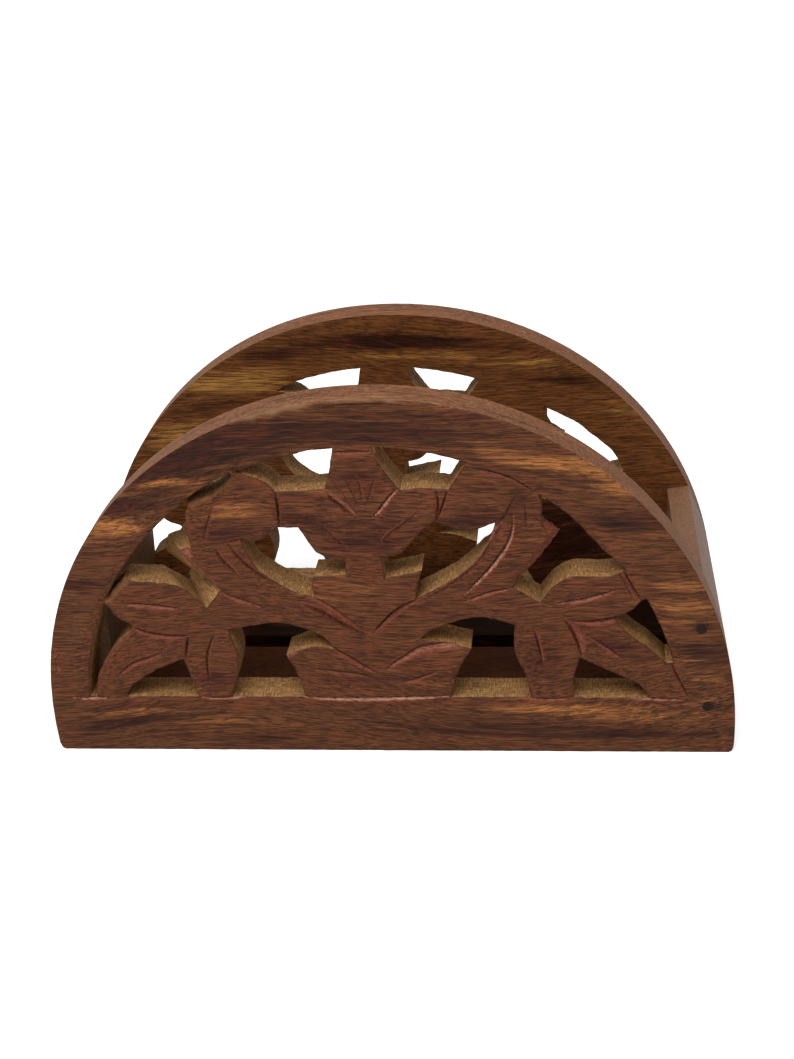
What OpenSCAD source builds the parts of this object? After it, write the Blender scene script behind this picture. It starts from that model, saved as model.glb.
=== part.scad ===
// Half-moon napkin holder in carved rosewood.
// Two fret-sawn and carved panels stand on edge. Two end walls and two base slats hold them apart,
// and punched brads under dark filler fasten the boards to each other.
// X runs along the panels, Y from the front panel to the back one, Z up. The holder stands on Z = 0.

/* [Panels] */
// Width of a panel at its widest point
panel_w = 171; // [164:1:190]
// Height of a panel at the top of its arc
panel_h = 93.5; // [86:0.5:104]
// Thickness of the panel boards
panel_t = 11; // [8:0.5:14]
// Height at which a panel is widest
widest_z = 10; // [6:1:14]
// Fullness of the arc, where 2 is a plain ellipse
arc_fullness = 2.06; // [1.95:0.01:2.2]
// Sideways lean of the hand-cut arc to the left, per millimetre of height
lean = 0.032; // [0:0.004:0.048]
// Radius of the two bottom corners
corner_r = 1.5; // [0.5:0.25:3]

/* [Openwork] */
// Height of the plain rail under the openwork
rail_h = 15; // [12:0.5:18]
// Width of the plain band beside the front openwork, at the widest point
band_side_front = 11.5; // [9:0.5:13]
// Width of the plain band beside the back openwork, at the widest point
band_side_back = 10; // [9:0.5:13]
// Width of the plain band over the front openwork, at the top
band_top_front = 12; // [10:0.5:16]
// Width of the plain band over the back openwork, at the top
band_top_back = 14.5; // [10:0.5:17]
// Shift of the openwork to the left of the panel's middle
window_shift = 1.75; // [0:0.25:3]
// Width of the flower's top petal on the front panel
petal_w_front = 10; // [8:0.5:13]
// Width of the flower's top petal on the back panel
petal_w_back = 13; // [8:0.5:15]
// Top of the gap under the front panel's lower right leaf
foot_z_front = 26; // [21:0.5:27]
// Top of the gap under the back panel's lower right leaf
foot_z_back = 22; // [21:0.5:27]

/* [Carving] */
// Depth of the V-gouged veins in the leaves
vein_depth = 0.8; // [0.4:0.1:1.4]
// Depth of the deeper V-gouges that part one leaf from the next
parting_depth = 1.4; // [0.8:0.1:2.2]
// Run of a gouge past its drawn ends, so that it opens into the cut-out whose corner it starts from
gouge_overrun = 1; // [0.5:0.25:1.5]

/* [Body] */
// Outside depth, from carved face to carved face
holder_d = 80; // [70:1:100]
// Length inside, between the two end walls
inside_w = 144; // [136:1:146]
// Height of an end wall at its inner face
wall_h = 43; // [38:1:50]
// Rise of an end wall's sawn top from its inner to its outer edge
wall_top_rise = 1; // [0:0.25:2]
// Thickness of the base slats
slat_t = 11; // [7:0.5:13]
// Gap between the two base slats
slat_gap = 7; // [3:0.5:14]

/* [Brads] */
// Diameter of a brad's shank
brad_d = 1.6; // [1.2:0.1:2]
// Diameter of a brad's head
brad_head_d = 2.4; // [2.1:0.1:3]
// Thickness of a brad's head
brad_head_t = 1; // [0.6:0.1:1.4]
// Length of a brad with its head
brad_l = 26; // [20:1:30]
// Depth to which a brad is punched below the surface, where the filler goes
punch_depth = 2; // [1:0.25:3]
// Height of the lower brad in each end of a panel
low_brad_z = 13; // [8:1:16]
// Height of the upper brad in each end of a panel
high_brad_z = 34; // [26:1:36]
// Gap all round a brad in its hole
brad_clearance = 0.05; // [0.02:0.01:0.1]

/* [Hidden] */

face_brown = [0.42, 0.25, 0.17];
inner_brown = [0.36, 0.22, 0.12];
wall_brown = [0.50, 0.37, 0.30];
slat_brown = [0.40, 0.26, 0.16];
brad_grey = [0.55, 0.55, 0.56];
filler_dark = [0.16, 0.11, 0.09];

front_y = -holder_d / 2;
inside_y = front_y + panel_t;
inside_d = holder_d - 2 * panel_t;
wall_x = inside_w / 2;
slat_w = (inside_d - slat_gap) / 2;
window_front_w = panel_w / 2 - band_side_front;
window_back_w = panel_w / 2 - band_side_back;
arc_steps = 72;
curve_steps = 4;
// Farther than any face of the holder
far = 200;
// How far a hole starts outside the board, and how far it goes on past the brad's tip
hole_start = 2;
tip_room = 1;

// The carving is drawn on a window of this half width and height, and stretched to the real one
drawn_half_w = 74;
drawn_h = 66.5;
drawn_shift = 1.75;
drawn_rail = 15;
// Left side of the flower's top petal in the drawing
drawn_petal_x = -10.5;

// ---- outlines ----

// One point of a full arc of half width a and top height top, at an angle of t degrees
function arc_point(a, top, fullness, t) =
    let (u = sign(cos(t)) * pow(abs(cos(t)), 2 / fullness))
    let (v = sign(sin(t)) * pow(abs(sin(t)), 2 / fullness))
    let (z = widest_z + (top - widest_z) * v)
    [a * u - lean * (z - widest_z), z];

function full_arc(a, top, fullness) =
    [for (i = [0 : 2 * arc_steps - 1]) arc_point(a, top, fullness, 180 * i / arc_steps)];

// Where the panel's edge stands at a height, on the right for side = 1 and on the left for side = -1
function edge_x(z, side) =
    let (v = abs(z - widest_z) / (panel_h - widest_z))
    side * panel_w / 2 * pow(1 - pow(v, arc_fullness), 1 / arc_fullness) - lean * (z - widest_z);

// The ground line with its two small round corners
module above_ground() {
    left = edge_x(0, -1);
    right = edge_x(0, 1);
    union() {
        translate([left - far, corner_r]) square([right - left + 2 * far, far]);
        translate([left + corner_r, 0]) square([right - left - 2 * corner_r, far]);
        translate([left + corner_r, corner_r]) circle(corner_r, $fn = 32);
        translate([right - corner_r, corner_r]) circle(corner_r, $fn = 32);
    }
}

// The half moon that both panels and the end walls' outer faces follow
module half_moon() {
    intersection() {
        polygon(full_arc(panel_w / 2, panel_h, arc_fullness));
        above_ground();
    }
}

// The field of the openwork: an ellipse of half width half_w inside the plain band, cut off by the rail
module window(half_w, band_top) {
    intersection() {
        translate([-window_shift, 0])
            polygon(full_arc(half_w, panel_h - band_top, 2));
        translate([-far, rail_h]) square([2 * far, far]);
    }
}

// ---- curves through drawn points ----
// A point [x, z] is a sharp corner, and a point [x, z, 1] is one that the curve passes smoothly.

function xz(p) = [p[0], p[1]];
function is_soft(p) = len(p) == 3;

// Direction of the curve at point i, for the stretch that joins i and j
function tangent(pts, i, j) =
    let (n = len(pts), p = pts[i])
    is_soft(p) ? (xz(pts[(i + 1) % n]) - xz(pts[(i + n - 1) % n])) / 2
               : (xz(pts[(i + 1) % n]) - xz(p)) * ((i + 1) % n == j ? 1 : 0)
                 + (xz(p) - xz(pts[j])) * ((i + 1) % n == j ? 0 : 1);

// The cubic curve that leaves a along ta and reaches b along tb
function cubic(a, b, ta, tb, s) =
    (2 * pow(s, 3) - 3 * pow(s, 2) + 1) * a + (pow(s, 3) - 2 * pow(s, 2) + s) * ta
    + (3 * pow(s, 2) - 2 * pow(s, 3)) * b + (pow(s, 3) - pow(s, 2)) * tb;

function outline(pts) = [
    for (i = [0 : len(pts) - 1])
        let (j = (i + 1) % len(pts))
        let (steps = is_soft(pts[i]) || is_soft(pts[j]) ? curve_steps : 1)
        for (k = [0 : steps - 1])
            cubic(xz(pts[i]), xz(pts[j]), tangent(pts, i, j), tangent(pts, j, i), k / steps)
];

// From the drawing to the panel: the drawn window is stretched to the real one
function on_panel(p, half_w, band_top) = [
    (p[0] + drawn_shift) * half_w / drawn_half_w - window_shift,
    rail_h + (p[1] - drawn_rail) * (panel_h - band_top - rail_h) / drawn_h
];

module cut_out(pts, half_w, band_top) {
    polygon([for (p = outline(pts)) on_panel(p, half_w, band_top)]);
}

// ---- the openwork, drawn in millimetres as seen from the front ----
// Points outside the window only carry a cut-out past the band or the rail, which then trim it.

// How high a share of the lower right leaf's gap reaches in the drawing
function foot(foot_z, share) = drawn_rail + share * (foot_z - drawn_rail);

function openwork(half_w, petal_w, foot_z) =
    let (petal_right = drawn_petal_x + petal_w * drawn_half_w / half_w) [
    // over the flower's left lobe
    [[-34.5, 75.5], [-34.5, 90], [-9.5, 90], [drawn_petal_x, 82], [-11.5, 76.5, 1], [-13, 71],
     [-19, 70.5, 1], [-25, 70.5], [-27.5, 73, 1], [-31, 74.5, 1]],
    // narrow slit between the left round leaf and the band
    [[-46.5, 67.5], [-43, 68.5, 1], [-38.5, 70.5, 1], [-36.5, 73, 1], [-35.5, 75.5], [-36, 90],
     [-60, 90]],
    // over the flower's right lobe
    [[petal_right, 81], [petal_right, 90], [30, 90], [21, 77.5], [16.5, 70.5], [10.5, 71, 1],
     [petal_right + 5.5, 70.5], [petal_right + 2.5, 74.5, 1], [petal_right + 0.5, 78, 1]],
    // left, over the upper side leaf
    [[-47, 67], [-60, 85], [-90, 60], [-70, 41], [-64.5, 47], [-52, 46, 1], [-47, 43, 1], [-44, 39.5],
     [-40.5, 44], [-45, 48, 1], [-50, 54.5], [-46.5, 55.5], [-47.5, 61, 1]],
    // right, over the upper side leaf
    [[38, 69.5], [60, 90], [90, 60], [58, 49.3], [54, 48, 1], [46.5, 48, 1], [41.5, 45.5, 1], [38, 41],
     [31.5, 45], [37, 50.5, 1], [43, 59], [38.5, 62.5], [38.5, 66, 1]],
    // between the flower and the left stem
    [[-25, 61], [-20, 61], [-16, 54.5], [-13, 53, 1], [-9, 52.5], [-9, 48.5], [-17, 48], [-17.5, 45.5],
     [-17, 42.5], [-24, 45, 1], [-31, 50.5, 1], [-34, 58], [-30, 57.5, 1]],
    // between the flower and the right stem
    [[0, 53], [4.5, 54, 1], [8.5, 58.5, 1], [13, 62.5], [17.5, 60.5, 1], [22, 60, 1], [27.5, 62],
     [25, 55.5, 1], [19, 48.5, 1], [8, 42], [8.5, 46], [9.5, 49.5], [0.5, 47.5]],
    // left, between the two side leaves and the band
    [[-69.5, 40], [-90, 50], [-90, 0], [-74.5, 0], [-74, 15], [-73, 21, 1], [-69, 27.5, 1], [-63, 34],
     [-63.5, 35], [-66.5, 37, 1]],
    // right, between the two side leaves and the band
    [[56, 36.5], [59.5, 38.5, 1], [62.5, 41.5], [80, 46], [80, 25], [68.5, 24.5], [64.5, 28.5, 1],
     [59.5, 32.5, 1]],
    // left, under the lower side leaf
    [[-51, 25.5], [-58, 22.5, 1], [-64.5, 18, 1], [-67, 13.5], [-67, 0], [-48, 0], [-48, 15.5],
     [-50, 22.5, 1]],
    // right, under the lower side leaf
    [[47.5, foot_z], [54.5, foot(foot_z, 0.68), 1], [61.5, foot(foot_z, 0.36), 1], [65, 14.5],
     [65, 0], [46, 0], [46, 15], [46, foot(foot_z, 0.45), 1]],
    // left arch, between the drop leaf and the calyx
    [[-39, 33.5], [-27, 35.5, 1], [-18, 33, 1], [-12, 28], [-18, 29, 1], [-25, 26.5], [-22.5, 21.5, 1],
     [-20.5, 14], [-20.5, 0], [-39.5, 0], [-39.5, 15], [-37, 25, 1]],
    // right arch, between the calyx and the drop leaf
    [[8.5, 31], [12.5, 34, 1], [22.5, 37, 1], [32, 35], [31.5, 28, 1], [34, 21.5, 1], [35.5, 15],
     [35.5, 0], [15.5, 0], [15.5, 15], [18, 23, 1], [21, 28.5], [15, 30, 1]],
];

// V-gouges that part one leaf from the next, each from one drawn point to another
partings = [
    [[-25, 70.5], [-24.5, 61]], [[16.5, 70.5], [13, 62.5]],
    [[-46.5, 67.5], [-46.5, 55.5]], [[38.5, 70], [22, 77.5]],
    [[-17, 42.5], [-3.5, 34]], [[8, 42], [-2, 35]],
    [[-12, 28], [-0.5, 23]], [[8.5, 31], [0.8, 24.2]],
    [[-63, 34.5], [-49.5, 33]], [[56, 36.5], [45.2, 33.5]],
    [[-51, 25.5], [-49.7, 31.2]], [[47.5, 26], [42.5, 35]],
    [[69, 24], [73.5, 15]], [[58, 49.3], [62.5, 42]],
    [[-13, 71], [-7.5, 64.5]], [[4.5, 70.5], [-1.5, 65]],
];

// Veins down the middle of the leaves, each from one drawn point to another
veins = [
    [[-5.5, 76], [-4.5, 66]], [[-19, 66], [-8.5, 58]], [[10, 66.5], [0.5, 58.5]],
    [[-40, 66], [-37.5, 52]], [[33, 65], [22, 46]],
    [[-66, 41.5], [-52, 39]], [[57, 43], [43.5, 40]],
    [[-67, 20], [-54, 30]], [[63, 21], [50, 31]],
    [[-44.5, 31], [-45, 19]], [[37.5, 32], [39, 20]],
    [[-20, 22.5], [-6, 20]], [[14.5, 22], [3, 18.5]],
    [[-34, 41.5], [-24, 38.5]], [[30, 42.5], [18, 39]],
];

// A groove with square walls at 45 degrees, along the face y = 0, open towards -Y
module gouge(line, depth, half_w, band_top) {
    a = on_panel(line[0], half_w, band_top);
    b = on_panel(line[1], half_w, band_top);
    run = b - a;
    side = depth * sqrt(2);
    length = norm(run) + 2 * gouge_overrun;
    translate([a[0], 0, a[1]])
        rotate([0, -atan2(run[1], run[0]), 0])
            rotate([45, 0, 0])
                translate([-gouge_overrun, -side / 2, -side / 2])
                    cube([length, side, side]);
}

// ---- boards ----

// Stands a flat outline up, with its front face on y = 0
module stand_up(thickness) {
    translate([0, thickness, 0]) rotate([90, 0, 0]) linear_extrude(thickness) children();
}

// A panel with its carved face on y = 0
module carved_panel(half_w, band_top, petal_w, foot_z) {
    difference() {
        stand_up(panel_t)
            difference() {
                half_moon();
                intersection() {
                    window(half_w, band_top);
                    union() for (pts = openwork(half_w, petal_w, foot_z)) cut_out(pts, half_w, band_top);
                }
            }
        for (line = partings) gouge(line, parting_depth, half_w, band_top);
        for (line = veins) gouge(line, vein_depth, half_w, band_top);
    }
}

// Puts a piece of the front in its place, for way = 1, or as its mirror image at the back
module at_panel(way) {
    if (way == 1) translate([0, front_y, 0]) children();
    else translate([0, -front_y, 0]) mirror([0, 1, 0]) children();
}

function panel_brads() = [
    for (side = [-1, 1], z = [low_brad_z, high_brad_z])
        [(side * wall_x + edge_x(z, side)) / 2, z]
];

// The hole that a punched brad leaves in a face on z = 0, down to a depth below it
module punch_hole(depth) {
    translate([0, 0, -hole_start])
        cylinder(d = brad_head_d + 2 * brad_clearance, h = hole_start + depth, $fn = 24);
}

// The hole for a whole brad along +Z, through the board that it holds and into the next one
module brad_hole() {
    union() {
        cylinder(d = brad_d + 2 * brad_clearance, h = punch_depth + brad_l + tip_room, $fn = 24);
        punch_hole(punch_depth + brad_head_t);
    }
}

// A brad that is punched below a face on z = 0, pointing along +Z
module brad() {
    translate([0, 0, punch_depth]) union() {
        cylinder(d = brad_head_d, h = brad_head_t, $fn = 24);
        cylinder(d = brad_d, h = brad_l, $fn = 24);
    }
}

// Puts a piece on +Z at each of the panel's brads, into a face on y = 0
module at_panel_brads() {
    for (p = panel_brads()) translate([p[0], 0, p[1]]) rotate([-90, 0, 0]) children();
}

module panel_brad_group(way) {
    color(brad_grey) at_panel(way) at_panel_brads() brad();
}

module panel_filler_group(way) {
    color(filler_dark) at_panel(way) intersection() {
        stand_up(panel_t) half_moon();
        at_panel_brads() punch_hole(punch_depth);
    }
}

module front_panel() {
    color(face_brown) at_panel(1) difference() {
        carved_panel(window_front_w, band_top_front, petal_w_front, foot_z_front);
        at_panel_brads() brad_hole();
    }
}

module back_panel() {
    color(inner_brown) at_panel(-1) difference() {
        carved_panel(window_back_w, band_top_back, petal_w_back, foot_z_back);
        at_panel_brads() brad_hole();
    }
}

// Outline of an end wall: what the half moon leaves outside the napkins, under a sloping top
module wall_outline(side) {
    intersection() {
        half_moon();
        polygon([
            [side * wall_x, -far],
            [side * far, -far],
            [side * far, wall_h + wall_top_rise * (far - wall_x) / (edge_x(wall_h, 1) - wall_x)],
            [side * wall_x, wall_h],
        ]);
    }
}

// An end wall before its holes
module wall_board(side) {
    translate([0, inside_y, 0]) stand_up(inside_d) wall_outline(side);
}

// Puts a piece on +Z at each of the brads that go through an end wall into the slats' ends
module at_wall_brads(side) {
    z = slat_t / 2;
    for (y = [inside_y + slat_w / 2, -inside_y - slat_w / 2])
        translate([edge_x(z, side), y, z]) rotate([0, -90 * side, 0]) children();
}

module end_wall(side) {
    color(wall_brown) difference() {
        wall_board(side);
        for (way = [1, -1]) at_panel(way) at_panel_brads() brad_hole();
        at_wall_brads(side) brad_hole();
    }
}

module left_end_wall() { end_wall(-1); }
module right_end_wall() { end_wall(1); }

module base_slat(y) {
    color(slat_brown) difference() {
        translate([-wall_x, y, 0]) cube([inside_w, slat_w, slat_t]);
        for (side = [-1, 1]) at_wall_brads(side) brad_hole();
    }
}

module front_base_slat() { base_slat(inside_y); }
module rear_base_slat() { base_slat(-inside_y - slat_w); }

module wall_brad_group(side) {
    color(brad_grey) at_wall_brads(side) brad();
}

// The filler ends flush with the wall's curved face
module wall_filler_group(side) {
    color(filler_dark) intersection() {
        wall_board(side);
        at_wall_brads(side) punch_hole(punch_depth);
    }
}

front_panel();
back_panel();
left_end_wall();
right_end_wall();
front_base_slat();
rear_base_slat();
panel_brad_group(1);  // front_brads
panel_brad_group(-1);  // back_brads
wall_brad_group(-1);  // left_brads
wall_brad_group(1);  // right_brads
panel_filler_group(1);  // front_fillers
panel_filler_group(-1);  // back_fillers
wall_filler_group(-1);  // left_fillers
wall_filler_group(1);  // right_fillers
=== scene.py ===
"""Half-moon napkin holder in hand-carved rosewood, dressed over its CAD model.

The two panels are rebuilt as fine surfaces: the outline of the fret-sawn openwork comes from the CAD
node, and the knife work on its face is a height field over that outline. The other boards keep their
CAD form and get softened edges and wood.
"""
import math

import bpy
import numpy as np
from bpy.props import FloatProperty, FloatVectorProperty, PointerProperty
from mathutils import Matrix, Vector
from mathutils.geometry import delaunay_2d_cdt


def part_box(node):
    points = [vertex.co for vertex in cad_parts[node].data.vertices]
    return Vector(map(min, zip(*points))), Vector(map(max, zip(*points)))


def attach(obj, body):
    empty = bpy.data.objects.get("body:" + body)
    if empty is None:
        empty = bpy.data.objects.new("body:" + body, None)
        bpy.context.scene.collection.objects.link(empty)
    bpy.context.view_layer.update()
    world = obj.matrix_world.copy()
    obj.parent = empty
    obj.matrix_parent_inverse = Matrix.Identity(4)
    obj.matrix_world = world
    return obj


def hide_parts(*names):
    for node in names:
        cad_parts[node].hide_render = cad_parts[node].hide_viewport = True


bl_info = {
    "name": "Carved napkin holder",
    "version": (1, 0, 0),
    "blender": (4, 5, 0),
    "location": "View3D > Sidebar > Napkin holder",
    "description": "Carved openwork panels, boards, brads and studio of a half-moon napkin holder",
    "category": "Object",
}

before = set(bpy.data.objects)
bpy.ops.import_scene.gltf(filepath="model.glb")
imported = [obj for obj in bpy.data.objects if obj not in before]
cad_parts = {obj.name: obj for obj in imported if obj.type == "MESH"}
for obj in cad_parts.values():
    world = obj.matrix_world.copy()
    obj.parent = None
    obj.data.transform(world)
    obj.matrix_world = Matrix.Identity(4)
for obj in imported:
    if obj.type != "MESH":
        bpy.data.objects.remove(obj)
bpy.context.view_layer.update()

MM = 0.001
TINY = 1e-9
# Sizes of the panels and of their surfaces, in mm
PANEL_T = 11.0
RAIL_H = 15.0
OUTLINE_STEP = 0.45
WORK_STEP = 0.42
PLAIN_STEP = 1.0
CUT_STEP = 0.5
# Rings of points inside every outline, inside the panel's own outline, and round each filler
ARRIS_RINGS = (0.14, 0.32)
RIM_RINGS = (0.7, 1.2, 1.9)
FILLER_RINGS = (1.34, 1.52)
# Shares of the board's thickness at which a sawn wall has a row of points
WALL_ROWS = (0.04, 0.15, 0.4, 0.7, 0.96)
# A turn above the first is a corner of an outline, and one above the second a hard edge of the mesh
CORNER_TURN = math.radians(28)
HARD_EDGE = math.radians(38)
# The carved field, a half ellipse over the rail: its centre in x and z, its half width and its height
FIELD = (-1.75, 15.5, 75.0, 67.0)
# Against the front panel's, the back panel's carving is wider and less high
BACK_WIDTH = 75.5 / 74.0
BACK_HEIGHT = 64.0 / 66.5

# ---- knife work ----
# name: (depth, width of the steep flank, width of the gentle flank, side of the gentle flank, rawness,
# points). Millimetres on the front panel seen from the front. The side is +1 where the gentle flank is
# on the left of the direction of drawing, and -1 on the right. Rawness goes from 0, oiled, over 1, fresh
# red wood, to 2, the pale wood of a chip. Below 0 the wood is rubbed golden, partly wear and partly a painted
# highlight.
CUTS = {
    "left_side_leaf_vein": (0.7, 0.35, 1.25, -1, 1.1,
        [(-65.4, 40.9), (-61.6, 41.0), (-57.9, 40.7), (-54.2, 40.3), (-50.2, 39.5)]),
    "left_leaf_parting": (1.1, 0.4, 1.2, -1, 0.9,
        [(-64, 35), (-61.1, 33.7), (-57.4, 32.7), (-53.1, 32.2), (-48.6, 32.3)]),
    "left_lower_vein": (0.6, 0.35, 1.2, -1, 0.8,
        [(-68.6, 20.2), (-66.5, 22.4), (-64.2, 24.3), (-61.3, 25.5), (-58.4, 26.6), (-55, 28)]),
    "drop_left_contour": (0.9, 0.35, 1.0, 1, 0.5, [(-49.1, 32.2), (-49.8, 28.9), (-50.3, 25.8)]),
    "drop_left_vein": (0.6, 0.3, 0.9, 1, 0.5,
        [(-42.2, 33.2), (-43.9, 29.7), (-44.8, 26.9), (-45, 23.6), (-44.6, 19.1)]),
    "left_stem_gouge": (0.8, 0.5, 1.3, 1, 0.9,
        [(-40.4, 56.3), (-39.6, 53.4), (-37.6, 50.9), (-34.9, 48.3)]),
    "left_stem_edge": (0.6, 0.5, 1.2, -1, 0.5, [(-33.2, 54.6), (-31, 51.1), (-28, 48.2), (-23.8, 45.1)]),
    "left_stem_gouge2": (0.8, 0.4, 1.2, 1, 0.7,
        [(-37.9, 58.2), (-36.2, 55.0), (-33.6, 51.6), (-29.2, 47.8), (-23.6, 44.9)]),
    "left_round_fold": (0.4, 0.4, 1.0, 1, 0.3, [(-39.9, 67.7), (-41.7, 63.0), (-43.3, 57.7)]),
    "left_stem_low": (0.6, 0.35, 1.0, -1, 1.0, [(-40.2, 44.1), (-37, 42.8), (-33.7, 41.6), (-29.7, 39.9)]),
    "petal_left_parting": (1.2, 0.4, 1.9, 1, 1.3,
        [(-13.6, 70.9), (-11.4, 68.3), (-8.7, 66.0), (-5.7, 63.6)]),
    "petal_right_parting": (0.9, 0.35, 1.0, 1, 1.9, [(4.7, 71.2), (2.4, 69), (0.2, 66.2), (-1.7, 63.8)]),
    "petal_vein": (0.4, 0.3, 0.6, 1, 0.6, [(-5.2, 74.6), (-4.4, 71.3), (-4.1, 67.5)]),
    "petal_fan_1": (0.3, 0.25, 0.4, 1, 0.4, [(-11.7, 73.9), (-9, 70.3), (-5.6, 65.2)]),
    "petal_fan_2": (0.3, 0.25, 0.4, 1, 0.4, [(-8.5, 74.9), (-6.6, 70.8), (-4.7, 65.7)]),
    "petal_fan_3": (0.3, 0.25, 0.4, 1, 0.4, [(-0.4, 74.9), (-1.8, 70.8), (-3.2, 66.2)]),
    "petal_top_cut": (0.6, 0.35, 1.1, -1, 1.0, [(-11.0, 80.2), (-5.8, 80.6), (-0.9, 80.4)]),
    "left_lobe_vein": (0.5, 0.35, 0.8, 1, 0.5,
        [(-18.8, 64.9), (-14.9, 61.9), (-11.2, 58.3), (-7.1, 54.7)]),
    "right_lobe_vein": (0.6, 0.35, 1.0, -1, 0.8, [(9.6, 65.6), (5.7, 62.0), (2.2, 59.4), (-0.8, 56.3)]),
    "left_lobe_parting": (0.9, 0.35, 0.7, 1, 0.5, [(-24.9, 70.5), (-24.6, 67.1), (-24.4, 61.2)]),
    "right_lobe_parting": (0.8, 0.3, 0.6, -1, 0.6, [(13.6, 70.4), (14.0, 66.6), (13.2, 62.2)]),
    "right_lobe_parting2": (0.7, 0.3, 0.6, 1, 0.6, [(16.3, 70.4), (15.1, 66.8), (13.8, 62.9)]),
    "left_parting_calyx": (1.3, 0.4, 2.3, 1, 1.0,
        [(-20.6, 41.0), (-15.9, 38.6), (-11.8, 35.9), (-8.0, 33.8), (-4.0, 32.2)]),
    "left_calyx_upper": (0.5, 0.35, 0.9, -1, 0.8, [(-19.6, 43.6), (-14.4, 41.0), (-9.9, 37.6), (-5.4, 33.6)]),
    "right_parting_calyx": (1.2, 0.4, 1.3, -1, 0.7,
        [(-2.9, 33.1), (-0.4, 36), (2.4, 38.7), (5.4, 40.7), (8.3, 41.9)]),
    "left_parting_calyx2": (1.0, 0.4, 1.3, -1, 0.8,
        [(-13.3, 28.3), (-10.8, 27.3), (-8.3, 25.8), (-5.6, 23.9), (-2.6, 22.1)]),
    "right_parting_calyx2": (1.1, 0.4, 1.9, -1, 1.2,
        [(0.1, 23.0), (2.1, 25.0), (4.3, 26.5), (8.4, 29.1), (13.9, 29.9), (20.6, 29.5)]),
    "calyx_curl": (0.8, 0.35, 1.2, -1, 1.1,
        [(-22.4, 29.2), (-20.4, 30.7), (-18.1, 31.1), (-15.3, 30.5), (-12.8, 29.4)]),
    "calyx_vein_l": (0.5, 0.3, 0.8, -1, 0.5,
        [(-20.9, 23.1), (-16.2, 22.9), (-12.2, 22.4), (-7.3, 21.7), (-3.0, 20.5)]),
    "calyx_vein_r": (0.5, 0.3, 0.9, -1, 0.7, [(3.2, 19.2), (7.3, 20.5), (10.2, 21.6), (12.8, 22.6)]),
    "right_stem_pale": (0.9, 0.5, 1.0, 1, 1.9,
        [(31.8, 64.3), (31.5, 60.6), (30.4, 57.0), (28.2, 53.3), (25.1, 49.3), (21.8, 45.6),
         (19.4, 43.0)]),
    "right_stem_rough": (0.8, 0.6, 1.9, -1, 1.2,
        [(29.3, 62.9), (27.3, 58.7), (24.8, 54.4), (22.2, 50.8), (18.3, 47.4)]),
    "right_stem_inner": (0.5, 0.3, 0.6, -1, 0.4, [(32.4, 69.4), (30.3, 65.0), (27.6, 60.6)]),
    "right_stem_edge": (0.6, 0.4, 1.0, -1, 0.6,
        [(26.6, 55.6), (23.2, 52), (19.5, 48.3), (15.3, 45.1), (10.8, 42.3), (7.9, 40.9)]),
    "right_stem_low": (0.6, 0.35, 1.0, -1, 1.2, [(19.2, 41.3), (23.5, 43.1), (27.4, 44.4), (31.6, 44.9)]),
    "right_leaf_streak": (0.3, 0.3, 0.6, 1, 0.3, [(34.4, 68), (34.8, 64.1), (35, 59)]),
    "right_tip_gouge": (1.3, 0.35, 1.9, -1, 0.6, [(57.3, 50.4), (58.9, 47.4), (60.4, 44.5), (62.0, 41.8)]),
    "right_tip_edge": (0.6, 0.3, 0.6, -1, 0.6, [(56.6, 49.2), (58.3, 45.9), (60.3, 42.0)]),
    "right_side_leaf_vein": (0.7, 0.35, 1.3, -1, 1.2,
        [(41.9, 40.9), (45.1, 41.5), (49, 42.3), (52.8, 43.4), (56.2, 44.4)]),
    "right_leaf_parting": (1.1, 0.4, 1.3, -1, 0.9,
        [(45.1, 36.2), (50, 36.1), (53.8, 36.5), (57.2, 37.2), (60, 38.4)]),
    "right_lower_contour": (1.2, 0.4, 2.4, 1, 1.0, [(44.0, 36.4), (45.8, 33), (47.1, 29.7), (47.9, 26.7)]),
    "right_lower_vein": (0.6, 0.35, 1.2, -1, 0.6, [(49.5, 32.2), (52.4, 30.3), (55.3, 28.1), (58.6, 25.4)]),
    "right_foot_seam": (0.8, 0.3, 0.9, -1, 0.5, [(69.3, 25.8), (70.4, 22.8), (71.9, 19.6), (74.2, 15.2)]),
    "drop_right_vein": (0.6, 0.3, 0.9, 1, 0.9, [(36.3, 34.3), (37.2, 30.6), (38, 27), (38.5, 23.9)]),
    "right_band_line": (0.6, 0.25, 0.8, -1, 0.5, [(20.5, 76.4), (26.5, 75.3), (31.3, 73.6), (37.4, 69.7)]),
    "rail_line_left": (0.5, 0.25, 0.8, -1, 1.8, [(-79.5, 14.9), (-75, 14.8), (-70.5, 14.9)]),
    "rail_line_left2": (0.5, 0.25, 0.7, -1, 1.7, [(-47.5, 15.1), (-42, 14.9), (-35.5, 15.1)]),
    "rail_line_mid": (0.6, 0.25, 1.2, -1, 2.0,
        [(-21.5, 15.1), (-12.6, 15.0), (-3.0, 15.1), (5, 15.3), (15, 15.4)]),
    "rail_line_right": (0.5, 0.25, 0.8, -1, 1.3, [(31.5, 15.2), (38, 14.9), (46.5, 15.1)]),
    "rail_line_foot": (0.5, 0.25, 0.8, -1, 1.6, [(58.5, 15.2), (65, 15.0), (73.5, 14.8)]),
    "rim_scratch": (0.15, 0.15, 0.2, 1, 1.4, [(-83.6, 31), (-83.3, 25.5), (-82.9, 20)]),
    "top_crack": (0.4, 0.2, 0.25, 1, 0.0, [(-13, 91.6), (-8.5, 92.1), (-4, 92.3), (5.5, 92.2)]),
}

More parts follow.
